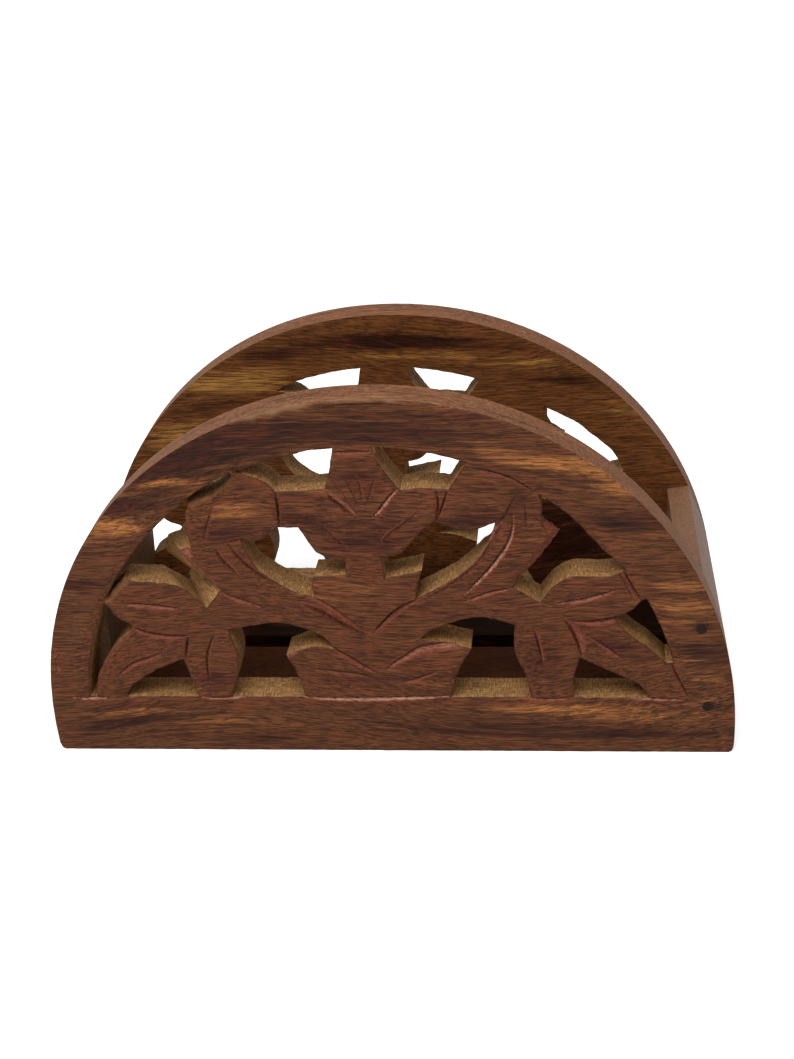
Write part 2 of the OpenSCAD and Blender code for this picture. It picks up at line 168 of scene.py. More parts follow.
# Edges that the knife has taken off at a slant: (width, slope, rawness, points along the edge)
BEVELS = {
    "left_stem": (2.0, 1.0, 1.1, [(-49.4, 54.9), (-46.9, 52.3), (-44.7, 48.8), (-41.8, 45.3)]),
    "left_round_side": (1.1, 0.8, 0.5, [(-46, 66.5), (-46.4, 62.8), (-46.6, 58.1)]),
    "left_round_top": (1.0, 2.6, -0.9, [(-46.4, 66.7), (-42.3, 69.5), (-38.2, 72.9), (-35.1, 75.1)]),
    "left_tip": (1.5, 0.9, -0.5, [(-68.6, 39.8), (-66.6, 43.7), (-64.5, 47.2)]),
    "right_barb": (2.6, 1.3, 0.9, [(33.2, 47.5), (36.1, 51.0), (39.3, 55.0), (42.8, 59.2), (40.5, 61)]),
    "left_lower_side": (0.7, 0.8, 0.5, [(-73.0, 17.5), (-70.2, 23.5), (-66.6, 30.2), (-64.2, 34.2)]),
    "calyx_left_top": (1.0, 1.0, 1.2, [(-24.4, 27.8), (-21.6, 30.6), (-18.0, 32.0), (-14.4, 31.4)]),
}

# The stretches of the front panel's top edge that are rubbed round, and painted golden, partly wear and
# partly a painted highlight: (from x, to x, width)
WORN_TOP = ((-36.0, -10.0, 1.2), (-16.0, 10.0, 0.8))

# Where a sawn outline strays from its drawing: (x, z, radius, (x, z) of the way it goes). A move is the
# same through the board, and a lean grows towards its back, as when the saw leans.
FRONT_MOVES = ((52.0, 56.0, 8.0, (-0.8, -0.7)),)
FRONT_LEANS = (
    (40.8, 60.8, 4.6, (0.0, -4.0)), (26.6, 59.5, 4.6, (0.0, -3.2)), (-45.5, 49.0, 8.5, (-8.4, 1.2)),
    (-43.2, 42.0, 6.0, (-4.0, 3.0)), (-36.5, 74.5, 3.5, (0.0, 2.5)),
)
BACK_MOVES = (
    (-61.5, 20.5, 4.5, (1.8, -1.8)), (34.0, 20.0, 4.5, (-2.2, 0.0)), (-67.0, 29.0, 5.0, (3.0, -2.0)),
    (-67.5, 36.0, 4.0, (-0.7, -1.2)), (21.5, 30.6, 4.5, (-2.6, -0.5)), (47.5, 61.8, 6.0, (0.7, 0.9)),
    (55.8, 54.0, 6.5, (1.2, 1.1)),
)
BACK_LEANS = ((-40.5, 70.0, 6.0, (0.0, -3.0)),)

# Streaks of the wood's figure: (x, z, half length, half height, slope, gold above 0 or dark below it)
FRONT_FIGURE = (
    (-65, 61.5, 9, 1.8, 0.05, 1.0), (-73, 57, 8, 1.2, 0.1, 0.4), (-51, 73, 9, 1.0, 0.12, 0.7),
    (-36, 66, 6, 2.2, 0.0, 0.7), (-44, 71, 4, 1.5, 0.3, 0.6), (-14, 69.3, 7, 1.2, 0.0, 0.7),
    (-5, 78.8, 6, 0.7, 0.0, 0.5), (-66, 67, 12, 2.0, 0.1, -0.8), (-77, 47, 9, 1.3, -0.05, -0.9),
    (-40, 79, 25, 3.0, 0.15, -0.5), (-25, 86, 22, 3.5, 0.05, -0.6), (10, 84, 18, 3.5, -0.02, -0.5),
    (-5, 75, 6, 2.0, 0.0, -0.5), (32, 79, 12, 3.0, -0.2, 0.7), (48, 75.5, 10, 2.2, -0.25, 0.9),
    (56, 70, 8, 2.0, -0.2, 0.7), (45, 70, 9, 1.4, 0.0, 0.5), (58, 61, 12, 3.2, -0.05, -0.9),
    (78, 27, 9, 2.6, 0.0, -0.8), (72, 45, 8, 1.5, 0.0, 0.3), (78, 20, 6, 1.5, 0.0, 0.3),
    (48, 12.2, 20, 1.5, 0.0, 0.7), (60, 9.5, 14, 1.2, 0.0, 0.4), (20, 6.5, 25, 2.2, 0.0, -0.6),
    (62, 5, 22, 2.0, 0.0, -0.6), (-52, 76, 22, 8.0, 0.5, -0.5), (-8, 87, 40, 5.0, 0.0, -0.3),
    (-64, 10, 20, 5.0, 0.0, -0.5), (71, 38, 10, 9.0, 0.0, 0.35), (-38, 59, 7, 3.0, 0.0, -0.6),
    (-19, 63, 7, 2.6, -0.2, -0.7), (-4, 58, 13, 4.0, 0.0, -0.7), (22, 63, 8, 3.0, 0.1, -0.8),
    (34, 66, 4, 5.0, 0.0, -0.6),
    (27, 73, 8, 1.4, -0.3, 0.5), (-3, 26, 16, 3.0, 0.0, -0.4), (3, 20, 16, 2.4, 0.0, -0.5),
    (38, 26, 5, 7.0, 0.0, -0.6), (56, 30, 8, 2.4, -0.5, -0.7), (-44, 20, 6, 3.0, 0.0, -0.6),
    (-58, 46, 8, 1.4, 0.0, -0.4), (52, 49, 7, 1.3, 0.0, 0.3), (-7, 46, 14, 3.0, 0.0, 0.3),
    (-72, 7, 9, 2.0, 0.25, -0.6), (-60, 11, 9, 1.5, 0.1, 0.4), (-44, 8, 9, 2.2, 0.2, 0.4),
    (-30, 5, 10, 1.5, 0.1, -0.4), (-55, 4, 9, 1.2, 0.1, -0.5),
)
BACK_FIGURE_AND_SHADE = (
    (-60, 60, 12, 5.0, 0.0, 0.8), (-45, 75, 16, 3.0, 0.1, 0.9), (-35, 83, 12, 1.6, 0.1, -0.6),
    (-52, 69, 12, 1.4, 0.1, -0.5), (0, 86, 26, 2.4, 0.0, -0.9), (5, 81.5, 20, 1.2, 0.0, 0.5),
    (35, 80, 14, 1.5, -0.05, 0.5), (45, 74, 12, 1.2, -0.1, -0.6), (62, 66, 10, 2.5, 0.0, 0.5),
    # The last streak, dark along the bottom of the back panel's inside, is painted shade from the front panel
    (66, 58, 8, 1.5, 0.0, -0.5), (45, 30, 20, 12.0, 0.0, -0.9), (0, 8, 90, 8.0, 0.0, -1.5),
)
# Dirt round the fillers: (x, z, half length, half height)
SMUDGES = ((76.8, 34.6, 1.9, 1.3), (80.3, 12.7, 2.2, 1.1))

# ---- camera, fitted to the photograph ----
CAMERA_AT = (0.04365, -0.4475, 0.2337)
CAMERA_AIM = (-0.0892, 0.9167, -0.3894)
CAMERA_ROLL = -0.0431
CAMERA_LENS = 63.16
SENSOR = 36.0
# ---- studio, in metres ----
FLOOR_HALF = 3.0
LAMP_SIZE = (0.7, 0.5)
LAMP_AT = (-0.15, -0.45, 0.75)
LAMP_AIM = (0.0, 0.0, 0.04)


# ---- small helpers ----

def linear(hex_colour):
    """Linear RGBA of an sRGB colour written as six hex digits."""
    channels = [int(hex_colour[i:i + 2], 16) / 255 for i in (0, 2, 4)]
    return [c / 12.92 if c <= 0.04045 else ((c + 0.055) / 1.055) ** 2.4 for c in channels] + [1.0]


def put(tree, kind, inputs=(), out=0, **settings):
    """Adds a shader node and gives the output socket that out names or numbers.

    inputs holds a value, or the socket that feeds it, for the first input sockets in their order, or
    for those whose names or numbers a dictionary gives."""
    node = tree.nodes.new("ShaderNode" + kind)
    for key, value in settings.items():
        setattr(node, key, value)
    for key, value in inputs.items() if isinstance(inputs, dict) else enumerate(inputs):
        if isinstance(value, bpy.types.NodeSocket):
            tree.links.new(value, node.inputs[key])
        else:
            node.inputs[key].default_value = value
    return node.outputs[out] if node.outputs else None


# Settings of put that come again and again: of a Math node, with CLAMPED for a product kept in 0..1, of
# a smooth Map Range, and of a Mix of colours
PLUS = {"operation": "ADD"}
MINUS = {"operation": "SUBTRACT"}
TIMES = {"operation": "MULTIPLY"}
CLAMPED = {"operation": "MULTIPLY", "use_clamp": True}
SMOOTH = {"interpolation_type": "SMOOTHSTEP"}
COLOURS = {"data_type": "RGBA", "out": 2}


def new_material(name):
    material = bpy.data.materials.new(name)
    material.use_nodes = True
    tree = material.node_tree
    tree.nodes.clear()
    return material, tree


# ---- meshes ----

def node_mesh(name):
    """A CAD node's points (n, 3) in mm, with equal ones merged, and its triangles (m, 3)."""
    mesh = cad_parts[name].data
    co = np.empty(len(mesh.vertices) * 3)
    mesh.vertices.foreach_get("co", co)
    co = co.reshape(-1, 3) / MM
    mesh.calc_loop_triangles()
    tri = np.empty(len(mesh.loop_triangles) * 3, dtype=np.int64)
    mesh.loop_triangles.foreach_get("vertices", tri)
    keys = np.round(co * 2000).astype(np.int64)
    _, first, back = np.unique(keys, axis=0, return_index=True, return_inverse=True)
    return co[first], back.ravel()[tri].reshape(-1, 3)


def face_loops(name, y):
    """The closed loops of (x, z) that bound a CAD node's flat face at y, longest first."""
    co, tri = node_mesh(name)
    flat = tri[np.abs(co[tri][:, :, 1] - y).max(axis=1) < 0.01]
    edges = np.concatenate([flat[:, [0, 1]], flat[:, [1, 2]], flat[:, [2, 0]]])
    pairs = set(map(tuple, edges.tolist()))
    follow = {a: b for a, b in pairs if (b, a) not in pairs}
    loops = []
    while follow:
        start, at = follow.popitem()
        chain = [start]
        while at != start:
            chain.append(at)
            at = follow.pop(at)
        loops.append(co[chain][:, [0, 2]])
    return sorted(loops, key=lambda p: -np.ptp(p[:, 0]))


def area(loop):
    x, z = loop.T
    return 0.5 * np.sum(x * np.roll(z, -1) - np.roll(x, -1) * z)


def closed_ends(loops):
    """The end of each side of the loops, in the order of the points that the sides start from."""
    return np.concatenate([np.roll(p, -1, axis=0) for p in loops])


def closed_follow(loops):
    """The number of the point that follows each point, where the loops are laid end to end."""
    starts = np.cumsum([0] + [len(p) for p in loops])
    return np.concatenate([np.roll(np.arange(a, b), -1) for a, b in zip(starts[:-1], starts[1:])])


def resample(points, step, closed):
    """Points about a step apart on the smooth curve through points, and whether each is a corner.

    Between two points p1 and p2 the curve is the cubic h00 p1 + h10 m1 + h01 p2 + h11 m2. Each m is as
    long as the chord p2 - p1. It points the mean way of the two chords that meet there, or along the
    chord itself at a corner."""
    n = len(points)
    before = np.roll(points, 1, axis=0)
    after = np.roll(points, -1, axis=0)
    into, out = points - before, after - points
    turn = np.arctan2(out[:, 1], out[:, 0]) - np.arctan2(into[:, 1], into[:, 0])
    sharp = np.abs(np.angle(np.exp(1j * turn))) > CORNER_TURN
    if not closed:
        sharp[0] = sharp[-1] = True
    length_in = np.linalg.norm(into, axis=1) + TINY
    length_out = np.linalg.norm(out, axis=1) + TINY
    direction = into / length_in[:, None] + out / length_out[:, None]
    direction /= np.linalg.norm(direction, axis=1)[:, None] + TINY
    pieces = []
    marks = []
    for i in range(n if closed else n - 1):
        j = (i + 1) % n
        chord = points[j] - points[i]
        size = np.linalg.norm(chord)
        ta = chord if sharp[i] else direction[i] * size
        tb = chord if sharp[j] else direction[j] * size
        count = max(1, int(round(size / step)))
        s = (np.arange(count) / count)[:, None]
        pieces.append((2 * s**3 - 3 * s**2 + 1) * points[i] + (s**3 - 2 * s**2 + s) * ta
                      + (3 * s**2 - 2 * s**3) * points[j] + (s**3 - s**2) * tb)
        flags = np.zeros(count, dtype=bool)
        flags[0] = sharp[i]
        marks.append(flags)
    if not closed:
        pieces.append(points[-1:])
        marks.append(np.array([True]))
    return np.concatenate(pieces), np.concatenate(marks)


def thin(points, step):
    """Drops the points that share a cell of that size with an earlier one."""
    _, keep = np.unique(np.floor(points / step).astype(np.int64), axis=0, return_index=True)
    return points[np.sort(keep)]


def near_lines(points, a, b, reach, group=16):
    """Distance from each point to the nearest segment a-b, at most reach, and that segment's number."""
    best = np.full(len(points), float(reach))
    which = np.full(len(points), -1)
    for start in range(0, len(a), group):
        p0, p1 = a[start:start + group], b[start:start + group]
        low = np.minimum(p0.min(axis=0), p1.min(axis=0)) - reach
        high = np.maximum(p0.max(axis=0), p1.max(axis=0)) + reach
        near = np.nonzero(((points > low) & (points < high)).all(axis=1))[0]
        run = p1 - p0
        rel = points[near][:, None, :] - p0[None]
        t = np.clip((rel * run).sum(axis=2) / ((run**2).sum(axis=1) + TINY), 0, 1)
        gap = np.sqrt(((rel - t[:, :, None] * run)**2).sum(axis=2))
        pick = gap.argmin(axis=1)
        gap = gap[np.arange(len(near)), pick]
        better = gap < best[near]
        best[near[better]] = gap[better]
        which[near[better]] = start + pick[better]
    return best, which


def inside(points, loops, group=16):
    """Even-odd test of points against all loops together."""
    odd = np.zeros(len(points), dtype=bool)
    for loop in loops:
        after = np.roll(loop, -1, axis=0)
        for start in range(0, len(loop), group):
            a, b = loop[start:start + group], after[start:start + group]
            near = np.nonzero((points[:, 1] >= min(a[:, 1].min(), b[:, 1].min()))
                              & (points[:, 1] <= max(a[:, 1].max(), b[:, 1].max())))[0]
            x, z = points[near].T[:, :, None]
            crosses = (a[:, 1] > z) != (b[:, 1] > z)
            rise = np.where(crosses, b[:, 1] - a[:, 1], 1.0)
            at = a[:, 0] + (z - a[:, 1]) / rise * (b[:, 0] - a[:, 0])
            odd[near] ^= (crosses & (x < at)).sum(axis=1) % 2 == 1
    return odd


def wave(x, z, size, seed):
    """Smooth noise in about -1..1: a sum of six sines with seeded directions and phases."""
    rng = np.random.default_rng(seed)
    total = np.zeros(np.broadcast(x, z).shape)
    for _ in range(6):
        angle, phase = rng.uniform(0, 2 * math.pi), rng.uniform(0, 2 * math.pi)
        pitch = 2 * math.pi * rng.uniform(0.7, 1.6) / size
        total = total + np.sin((x * math.cos(angle) + z * math.sin(angle)) * pitch + phase)
    return total / 3.0


def outward(loop):
    """Unit normals of a loop, to the right of its direction."""
    run = np.roll(loop, -1, axis=0) - np.roll(loop, 1, axis=0)
    return np.stack([run[:, 1], -run[:, 0]], axis=1) / (np.linalg.norm(run, axis=1)[:, None] + TINY)


def in_field(points):
    """Whether points lie in the half ellipse ((x - cx) / a)^2 + ((z - cz) / b)^2 < 1 of the carved field."""
    cx, cz, a, b = FIELD
    return (((points[:, 0] - cx) / a)**2 + ((points[:, 1] - cz) / b)**2 < 1) & (points[:, 1] > cz - 2.5)


def hex_grid(step):
    """Points of a triangular grid over a whole panel."""
    x, z = np.meshgrid(np.arange(-87, 87, step), np.arange(0.4, 94, step * 0.866))
    x = x + 0.5 * step * (np.arange(x.shape[0]) % 2)[:, None]
    return np.stack([x.ravel(), z.ravel()], axis=1)


def figure_at(points, streaks):
    """Gold and dark shares of the figure: the sums of s * exp(-u^2 - v^2) over the streaks, with
    u = (x - x0) / length and v = (z - z0 - slope (x - x0) + waver) / height."""
    x, z = points.T
    waver = 0.7 * wave(x / 5, z, 9.0, 41)
    gold, dark = np.zeros(len(points)), np.zeros(len(points))
    for x0, z0, length, height, slope, strength in streaks:
        v = (z - z0 - slope * (x - x0) + waver) / height
        share = abs(strength) * np.exp(-((x - x0) / length)**2 - v * v)
        gold, dark = (gold + share, dark) if strength > 0 else (gold, dark + share)
    return np.clip(gold, 0, 1), np.clip(dark, 0, 1)


class Carving:
    """The knife work of one panel, as a depth below the face at any (x, z) in mm."""

    def __init__(self, loops, brads, stretch, worn):
        sizes = bpy.context.scene.holder
        self.arris, self.swell = sizes.arris / MM, sizes.swell / MM
        self.a = np.concatenate(loops)
        self.b = closed_ends(loops)
        self.brads, self.worn = brads, worn
        self.cuts = [(*cut[:-1], self.line(cut[-1], stretch)) for cut in CUTS.values()]
        self.bevels = [(*bevel[:-1], self.line(bevel[-1], stretch)) for bevel in BEVELS.values()]

    @staticmethod
    def line(points, stretch):
        return resample(stretch(np.array(points, dtype=float)), CUT_STEP, closed=False)[0]

    def edge_distance(self, points):
        return near_lines(points, self.a, self.b, 6.0)[0]

    def at(self, points, edge):
        """Depth at points, and the shares of raw wood, of dirt and painted shade, and of redness. edge is the
        points' distance from the outline.

        Each cut is a V: depth * (1 - |s| / w), with s the distance from its line and w the width of
        the flank on that side, both narrowing to nothing at its ends. The edges add
        slope * max(0, bevel - edge), and swell * exp(-edge / 1.8) lets the leaves rise to their middles."""
        x, z = points.T
        work, raw, dirt_and_shade = np.zeros((3, len(points)))
        blush = 0.25 * in_field(points)
        for number, (depth, steep, gentle, side, rawness, line) in enumerate(self.cuts):
            gap, segment = near_lines(points, line[:-1], line[1:], 4.5, 1000)
            near = np.nonzero(segment >= 0)[0]
            gap, segment = gap[near], segment[near]
            rel, run = points[near] - line[segment], line[segment + 1] - line[segment]
            on_gentle = (run[:, 0] * rel[:, 1] - run[:, 1] * rel[:, 0] > 0) == (side > 0)
            taper = np.sin(math.pi * np.clip((segment + 0.5) / (len(line) - 1), 0.02, 0.98)) ** 0.6
            chatter = 1 + 0.08 * wave(x[near], z[near], 1.9, number)
            v = np.clip(1 - gap / (np.where(on_gentle, gentle, steep) * taper * chatter + TINY), 0, 1)
            cut = depth * taper * v
            deeper = cut > work[near]
            work[near] = np.where(deeper, cut, work[near])
            raw[near] = np.where(deeper, rawness * np.clip(v * 3, 0, 1) * on_gentle, raw[near])
            # Painted shade along the bottom of each cut, darker for deeper cuts
            groove_shade = np.clip(1.35 - gap / 0.24, 0, 1) * taper * min(1, depth / 0.6)
            dirt_and_shade[near] = np.maximum(dirt_and_shade[near], groove_shade)
            halo = min(rawness, 1) * taper * np.exp(-(gap / (gentle + 0.9))**2) * np.where(on_gentle, 1, 0.4)
            blush[near] = np.maximum(blush[near], halo)
        # the arris, rubbed round, then the knife's bevels and the worn stretches of the top edge
        slant = 0.8 * np.maximum(0, self.arris + 0.08 * wave(x, z, 5.0, 90) - edge)
        # A bevel with rawness below 0, like the worn stretches below, is painted golden: partly rubbed wood,
        # partly a painted highlight on a facet that faces the light
        for width, slope, rawness, line in self.bevels:
            gap, _ = near_lines(points, line[:-1], line[1:], 2.6, 1000)
            wide = width * np.clip((2.5 - gap) / 1.2, 0, 1) * (1 + 0.15 * wave(x, z, 2.1, 91))
            slant = np.maximum(slant, slope * np.maximum(0, wide - edge))
            raw = np.where(wide > edge, rawness * np.clip((wide - edge) * 3, 0, 1), raw)
        for start, end, width in self.worn:
            share = np.clip((x - start) / 7, 0, 1) * np.clip((end - x) / 7, 0, 1) * (z > 80)
            wide = width * share * (1 + 0.2 * wave(x, z, 6.0, 92))
            slant = np.maximum(slant, 0.7 * np.maximum(0, wide - edge))
            raw = np.where(wide > edge, -np.clip((wide - edge) * 1.2, 0, 1), raw)
        # a shallow dent in each filler, the dirt smudges round them, and painted shade along the carved
        # field's edges, where the leaves turn down
        for brad in self.brads:
            work = work + 0.05 * np.clip((1.5 - np.linalg.norm(points - brad, axis=1)) / 0.15, 0, 1)
        for x0, z0, length, height in SMUDGES:
            dirt_and_shade = np.maximum(dirt_and_shade, 1.1 * np.exp(-((x - x0) / length)**2 - ((z - z0) / height)**2))
        field = in_field(points)
        edge_shade = np.clip(1.3 - edge / 0.28, 0, 1) * (0.7 + 0.5 * wave(x, z, 3.0, 93))
        dirt_and_shade = np.maximum(dirt_and_shade, 0.6 * field * edge_shade)
        crown = self.swell * np.exp(-edge / 1.8) * field
        return work + slant + crown, {"raw": raw, "dirt_and_shade": dirt_and_shade, "blush": blush}


def fill_face(loops, spots):
    """Delaunay triangles over the loops' inside, through the spots too. Returns points and triangles."""
    every = np.concatenate([*loops, spots])
    sides = list(enumerate(closed_follow(loops).tolist()))
    co, _, faces, _, _, _ = delaunay_2d_cdt([Vector(p) for p in every.tolist()], sides, [], 0, 1e-7, False)
    co, faces = np.array([tuple(p) for p in co]), np.array(faces)
    if len(co) != len(every):
        raise RuntimeError("two outline points of a panel met, so its walls wouldn't close")
    faces = faces[inside(co[faces].mean(axis=1), loops)]
    p = co[faces]
    turn = np.cross(p[:, 1] - p[:, 0], p[:, 2] - p[:, 0])
    faces[turn < 0] = faces[turn < 0][:, ::-1]
    return co, faces


def hand_cut(loop):
    """The outline as a hand saw leaves it, moved up to a tenth of a millimetre by two slow waves."""
    fine, sharp = resample(loop, OUTLINE_STEP, closed=True)
    sway = 0.07 * wave(fine[:, 0], fine[:, 1], 4.5, 7) + 0.03 * wave(fine[:, 0], fine[:, 1], 1.3, 8)
    return fine + outward(fine) * (sway * ~sharp)[:, None]


def strayed(ring, strays, share=1.0):
    """The outline moved by share * way * exp(-(d / radius)^2) for each stray, with d the distance from
    its centre."""
    total = ring.copy()
    for x, z, radius, way in strays:
        near = np.exp(-((ring[:, 0] - x)**2 + (ring[:, 1] - z)**2) / radius**2)
        total += near[:, None] * (share * np.array(way))
    return total


def panel_piece(name, node, front, stretch, materials, worn, moves, leans, figure, rear_figure_and_shade):
    """A carved panel as one closed mesh.

    Its face is y = face + depth(x, z) over the sawn outline, its walls follow the outline through the
    board, and its back is flat. Depths come from Carving.at. front is -1 for the panel at the front."""
    low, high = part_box(node)
    face_y = (low[1] if front < 0 else high[1]) / MM
    inner_y = (high[1] if front < 0 else low[1]) / MM
    drawn = face_loops(node, inner_y)
    brads = [p.mean(axis=0) for p in drawn if np.ptp(p[:, 0]) < 3.0]
    loops = []
    for loop in drawn[:len(drawn) - len(brads)]:
        if (area(loop) < 0) == (not loops):
            loop = loop[::-1]
        if loops:
            loops.append(strayed(hand_cut(loop), moves))
        else:
            # The smooth curve may swing past the straight foot, so it's kept inside the CAD's box
            fine = resample(loop, OUTLINE_STEP, closed=True)[0]
            loops.append(np.clip(fine, (low[0] / MM, low[2] / MM), (high[0] / MM, high[2] / MM)))
    carving = Carving(loops, brads, stretch, worn)
    ring = np.concatenate(loops)
    ring_n = len(ring)

    # the face: rings just inside the arris, the lines of the knife, and an even field
    spots = [fine - offset * outward(fine) for fine in loops for offset in ARRIS_RINGS]
    spots += [loops[0] - offset * outward(loops[0]) for offset in RIM_RINGS]
    turn = np.linspace(0, 2 * math.pi, 24, endpoint=False)
    spots += [brad + radius * np.stack([np.cos(turn), np.sin(turn)], axis=1)
              for brad in brads for radius in FILLER_RINGS]
    for _, steep, gentle, side, _, line in carving.cuts:
        run = np.gradient(line, axis=0)
        run /= np.linalg.norm(run, axis=1)[:, None] + TINY
        left = side * np.stack([-run[:, 1], run[:, 0]], axis=1)
        spots += [line, line + left * gentle * 0.5, line - left * steep]
    fine_grid, wide_grid = hex_grid(WORK_STEP), hex_grid(PLAIN_STEP)
    spots += [fine_grid[in_field(fine_grid)], wide_grid[~in_field(wide_grid)]]
    spots = np.concatenate(spots)
    spots = spots[inside(spots, loops)]
    spots = thin(spots[carving.edge_distance(spots) > 0.1], 0.16)
    co, faces = fill_face(loops, spots)
    depth, shares = carving.at(co, np.append(np.zeros(ring_n), carving.edge_distance(co[ring_n:])))

    rear_loops = [strayed(loop, leans) for loop in loops]
    rear_spots = wide_grid[inside(wide_grid, rear_loops)]
    gap, _ = near_lines(rear_spots, np.concatenate(rear_loops), closed_ends(rear_loops), 2.0)
    rear_co, rear_faces = fill_face(rear_loops, rear_spots[gap > 0.6])

    # points: the face, then the rows of the walls, then the back
    arris = depth[:ring_n]
    parts = [np.stack([co[:, 0], face_y - front * depth, co[:, 1]], axis=1)]
    for share in WALL_ROWS:
        row = strayed(ring, leans, share)
        parts.append(np.stack([row[:, 0], face_y - front * (arris + (PANEL_T - arris) * share), row[:, 1]],
                              axis=1))
    parts.append(np.stack([rear_co[:, 0], np.full(len(rear_co), inner_y), rear_co[:, 1]], axis=1))
    xyz = np.concatenate(parts)
    offsets = [0] + [len(co) + ring_n * i for i in range(len(WALL_ROWS) + 1)]

    index, follow = np.arange(ring_n), closed_follow(loops)
    quads = np.concatenate([np.stack([upper + follow, upper + index, lower + index, lower + follow], axis=1)
                            for upper, lower in zip(offsets[:-1], offsets[1:])])
    wall_kind = np.where(index < len(loops[0]), 2, 1)
    rear = rear_faces[:, ::-1] + offsets[-1]
    if front > 0:
        faces, rear, quads = faces[:, ::-1], rear[:, ::-1], quads[:, ::-1]
    kinds = np.concatenate([np.zeros(len(faces)), np.tile(wall_kind, len(offsets) - 1),
                            np.full(len(rear), 3)])
    piece = new_mesh(name, xyz, [faces, quads, rear], kinds, materials)
    # one number per point for the wood: the figure, the knife's traces, painted shade, and the way along each
    # outline
    between = np.zeros(len(xyz) - len(co) - len(rear_co))
    nothing = np.zeros(len(rear_co))
    gold, dark = figure_at(co, figure)
    rear_gold, rear_dark = figure_at(rear_co, rear_figure_and_shade)
    point_values(piece, "gold", gold, between, rear_gold)
    point_values(piece, "dark", dark, between, rear_dark)
    for label, values in shares.items():
        point_values(piece, label, values, between, nothing)
    travel = np.concatenate([np.cumsum(np.linalg.norm(np.roll(p, -1, axis=0) - p, axis=1)) for p in loops])
    point_values(piece, "along", travel, np.zeros(len(co) - ring_n), np.tile(travel, len(WALL_ROWS) + 1),
                 nothing[ring_n:])
    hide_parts(node)
    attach(piece, "root")
    return piece


def new_mesh(name, xyz, polygons, kinds, materials):
    """A smooth-shaded object from points in mm and arrays of polygons, with a material number for each."""
    mesh = bpy.data.meshes.new(name)
    sizes = np.concatenate([np.full(len(p), p.shape[1]) for p in polygons])
    corners = np.concatenate([p.ravel() for p in polygons])
    mesh.vertices.add(len(xyz))
    mesh.vertices.foreach_set("co", (xyz * MM).ravel())
    mesh.loops.add(len(corners))
    mesh.loops.foreach_set("vertex_index", corners.astype(np.int32))
    mesh.polygons.add(len(sizes))
    mesh.polygons.foreach_set("loop_start", (np.cumsum(sizes) - sizes).astype(np.int32))
    mesh.polygons.foreach_set("material_index", np.asarray(kinds).astype(np.int32))
    mesh.update(calc_edges=True)
    mesh.shade_smooth()
    mesh.set_sharp_from_angle(angle=HARD_EDGE)
    for material in materials:
        mesh.materials.append(material)
    piece = bpy.data.objects.new(name, mesh)
    bpy.context.scene.collection.objects.link(piece)
    return piece


def point_values(piece, label, *parts):
    """Keeps one number per point on a piece's mesh, for its material."""
    layer = piece.data.attributes.new(label, "FLOAT", "POINT")
    layer.data.foreach_set("value", np.concatenate(parts).astype(np.float32))


# ---- wood ----

def grain_space(tree, axis, shift):
    """Object coordinates in mm with the grain laid along X, and moved so that no two boards match."""
    where = put(tree, "TexCoord", out="Object")
    turn = {"X": (0, 0, 0), "Z": (0, math.pi / 2, 0)}[axis]
    scaled = put(tree, "VectorMath", {0: where, "Scale": 1 / MM}, operation="SCALE")
    return put(tree, "Mapping", {0: scaled, "Rotation": turn, "Location": shift})


def stretched_noise(tree, where, along, across, detail=2.0, rough=0.5, distort=0.0, shift=0.0):
    """Noise whose blotches are about along mm by across mm."""
    place = put(tree, "Mapping", {0: where, "Scale": (1 / along, 1 / across, 1 / across),
                                  "Location": (shift, shift, shift)})
    return put(tree, "TexNoise", {"Vector": place, "Scale": 1.0, "Detail": detail, "Roughness": rough,
                                  "Distortion": distort}, out="Fac")


